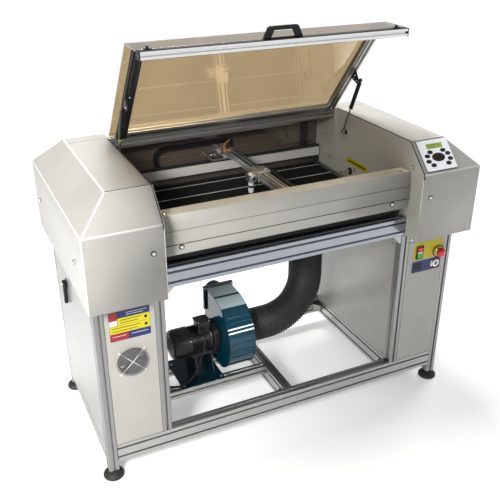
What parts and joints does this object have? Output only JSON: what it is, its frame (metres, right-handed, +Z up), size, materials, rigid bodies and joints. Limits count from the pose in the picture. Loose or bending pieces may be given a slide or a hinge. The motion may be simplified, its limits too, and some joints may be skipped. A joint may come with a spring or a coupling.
{
  "type": "laser cutter",
  "caption": "Floor-standing laser cutter: open tinted lid on gas struts, gantry and head over a slatted bed, and an exhaust blower in the frame below.",
  "frame": {"origin": "middle of the footprint on the floor", "axes": "+Z up, front towards -Y, right side as seen from the front towards +X"},
  "size_m": [1.6, 0.825, 1.6333],
  "materials": {
    "profile": "anodised slotted profile",
    "rails": "machined, lightly brushed",
    "housing_paint": "light warm grey satin powder coat",
    "tinted_sheet": "clear amber-brown acrylic sheet",
    "bed_black": "satin black",
    "blower_teal": "gloss teal enamel",
    "motor_black": "satin black enamel",
    "duct_black": "flexible corrugated hose",
    "black_plastic": "moulded",
    "foot_rubber": "moulded",
    "bright_steel": "polished",
    "panel_silver": "satin silver keypad face",
    "red_plastic": "moulded",
    "green_plastic": "moulded"
  },
  "bodies": {
    "machine": {"base_frame": "profile", "left_pedestal_frame": "profile", "right_pedestal_frame": "profile", "front_beam": "profile", "rear_beam": "profile", "floor_pan": "housing_paint", "left_housing_shell": "housing_paint", "right_housing_shell": "housing_paint", "left_inner_wall": "housing_paint", "right_inner_wall": "housing_paint", "front_fascia": "housing_paint", "rear_cover": "housing_paint", "rear_window": "tinted_sheet", "hinge_beam": "profile", "motion_frame": "rails", "slat_bed": "bed_black", "left_front_panel": "housing_paint", "right_front_panel": "housing_paint", "left_side_panel": "housing_paint", "right_side_panel": "housing_paint", "left_inner_panel": "housing_paint", "right_inner_panel": "housing_paint", "left_rear_panel": "housing_paint", "right_rear_panel": "housing_paint", "blower_scroll": "blower_teal", "blower_motor": "motor_black", "exhaust_duct": "duct_black", "keypad_panel": "panel_silver", "left_front_foot": "foot_rubber", "left_rear_foot": "foot_rubber", "right_front_foot": "foot_rubber", "right_rear_foot": "foot_rubber", "drag_chain": "black_plastic"},
    "lid": {"lid_sheet": "tinted_sheet", "lid_frame": "profile", "lid_front_rail": "profile", "lid_handle": "black_plastic"},
    "left_strut_lower": {"left_strut_rod": "bright_steel"},
    "left_strut_upper": {"left_strut_cylinder": "motor_black"},
    "right_strut_lower": {"right_strut_rod": "bright_steel"},
    "right_strut_upper": {"right_strut_cylinder": "motor_black"},
    "gantry": {"gantry_beam": "rails"},
    "head": {"head_carriage": "rails"},
    "lens": {"lens_tube": "bright_steel"},
    "impeller": {"blower_impeller": "rails"},
    "cabinet_fan": {"cabinet_fan_rotor": "black_plastic"},
    "estop": {"estop_button": "red_plastic"},
    "start_key": {"start_button": "green_plastic"},
    "stop_key": {"stop_button": "red_plastic"},
    "key_lock": {"key_switch": "bright_steel"},
    "nav": {"nav_disc": "black_plastic"},
    "side_latch": {"panel_latch": "black_plastic"},
    "keypad_key_1": {"keypad_button_1": "black_plastic"},
    "keypad_key_2": {"keypad_button_2": "black_plastic"},
    "keypad_key_3": {"keypad_button_3": "black_plastic"},
    "keypad_key_4": {"keypad_button_4": "black_plastic"},
    "keypad_key_5": {"keypad_button_5": "black_plastic"},
    "keypad_key_6": {"keypad_button_6": "black_plastic"},
    "keypad_key_7": {"keypad_button_7": "black_plastic"},
    "keypad_key_8": {"keypad_button_8": "black_plastic"}
  },
  "joints": [
    {"name": "lid_hinge", "type": "hinge", "parent": "machine", "child": "lid", "pos_m": [0, 0.2425, 1.178], "axis": [1, 0, 0], "range_deg": [0, 51.3]},
    {"name": "left_strut_pivot", "type": "hinge", "parent": "machine", "child": "left_strut_lower", "pos_m": [-0.51, 0.1525, 1.088], "axis": [1, 0, 0], "range_deg": [0, 54.5]},
    {"name": "left_strut_slide", "type": "slide", "parent": "left_strut_lower", "child": "left_strut_upper", "axis": [0, -0.4044, 0.9146], "range_m": [-0.11, 0]},
    {"name": "right_strut_pivot", "type": "hinge", "parent": "machine", "child": "right_strut_lower", "pos_m": [0.51, 0.1525, 1.088], "axis": [1, 0, 0], "range_deg": [0, 54.5]},
    {"name": "right_strut_slide", "type": "slide", "parent": "right_strut_lower", "child": "right_strut_upper", "axis": [0, -0.4044, 0.9146], "range_m": [-0.11, 0]},
    {"name": "gantry_slide", "type": "slide", "parent": "machine", "child": "gantry", "axis": [1, 0, 0], "range_m": [-0.44, 0.39], "deforming": ["drag_chain"]},
    {"name": "head_slide", "type": "slide", "parent": "gantry", "child": "head", "axis": [0, 1, 0], "range_m": [-0.255, 0.245]},
    {"name": "focus_slide", "type": "slide", "parent": "head", "child": "lens", "axis": [0, 0, 1], "range_m": [-0.01, 0.01]},
    {"name": "impeller_spin", "type": "hinge", "parent": "machine", "child": "impeller", "pos_m": [-0.175, 0.0025, 0.305], "axis": [1, 0, 0], "continuous": true},
    {"name": "cabinet_fan_spin", "type": "hinge", "parent": "machine", "child": "cabinet_fan", "pos_m": [-0.648, -0.316, 0.517], "axis": [0, 1, 0], "continuous": true},
    {"name": "estop_press", "type": "slide", "parent": "machine", "child": "estop", "axis": [0, 1, 0], "range_m": [0, 0.004], "stiffness_N_per_m": 800},
    {"name": "start_press", "type": "slide", "parent": "machine", "child": "start_key", "axis": [0, 1, 0], "range_m": [0, 0.003], "stiffness_N_per_m": 500},
    {"name": "stop_press", "type": "slide", "parent": "machine", "child": "stop_key", "axis": [0, 1, 0], "range_m": [0, 0.003], "stiffness_N_per_m": 500},
    {"name": "key_turn", "type": "hinge", "parent": "machine", "child": "key_lock", "pos_m": [0.7, -0.333, 0.62], "axis": [0, 1, 0], "range_deg": [0, 90]},
    {"name": "nav_press", "type": "slide", "parent": "machine", "child": "nav", "axis": [0, 0.7071, -0.7071], "range_m": [0, 0.001], "stiffness_N_per_m": 600},
    {"name": "side_latch_turn", "type": "hinge", "parent": "machine", "child": "side_latch", "pos_m": [-0.784, 0.1075, 0.65], "axis": [1, 0, 0], "range_deg": [0, 90]},
    {"name": "keypad_press_1", "type": "slide", "parent": "machine", "child": "keypad_key_1", "axis": [0, 0.7071, -0.7071], "range_m": [0, 0.001], "stiffness_N_per_m": 400},
    {"name": "keypad_press_2", "type": "slide", "parent": "machine", "child": "keypad_key_2", "axis": [0, 0.7071, -0.7071], "range_m": [0, 0.001], "stiffness_N_per_m": 400},
    {"name": "keypad_press_3", "type": "slide", "parent": "machine", "child": "keypad_key_3", "axis": [0, 0.7071, -0.7071], "range_m": [0, 0.001], "stiffness_N_per_m": 400},
    {"name": "keypad_press_4", "type": "slide", "parent": "machine", "child": "keypad_key_4", "axis": [0, 0.7071, -0.7071], "range_m": [0, 0.001], "stiffness_N_per_m": 400},
    {"name": "keypad_press_5", "type": "slide", "parent": "machine", "child": "keypad_key_5", "axis": [0, 0.7071, -0.7071], "range_m": [0, 0.001], "stiffness_N_per_m": 400},
    {"name": "keypad_press_6", "type": "slide", "parent": "machine", "child": "keypad_key_6", "axis": [0, 0.7071, -0.7071], "range_m": [0, 0.001], "stiffness_N_per_m": 400},
    {"name": "keypad_press_7", "type": "slide", "parent": "machine", "child": "keypad_key_7", "axis": [0, 0.7071, -0.7071], "range_m": [0, 0.001], "stiffness_N_per_m": 400},
    {"name": "keypad_press_8", "type": "slide", "parent": "machine", "child": "keypad_key_8", "axis": [0, 0.7071, -0.7071], "range_m": [0, 0.001], "stiffness_N_per_m": 400}
  ],
  "couplings": [
    {"joint": "left_strut_pivot", "follows": "lid_hinge", "ratio": 1.0584},
    {"joint": "left_strut_slide", "follows": "lid_hinge", "m_per_rad": -0.12244},
    {"joint": "right_strut_pivot", "follows": "lid_hinge", "ratio": 1.0584},
    {"joint": "right_strut_slide", "follows": "lid_hinge", "m_per_rad": -0.12244}
  ]
}
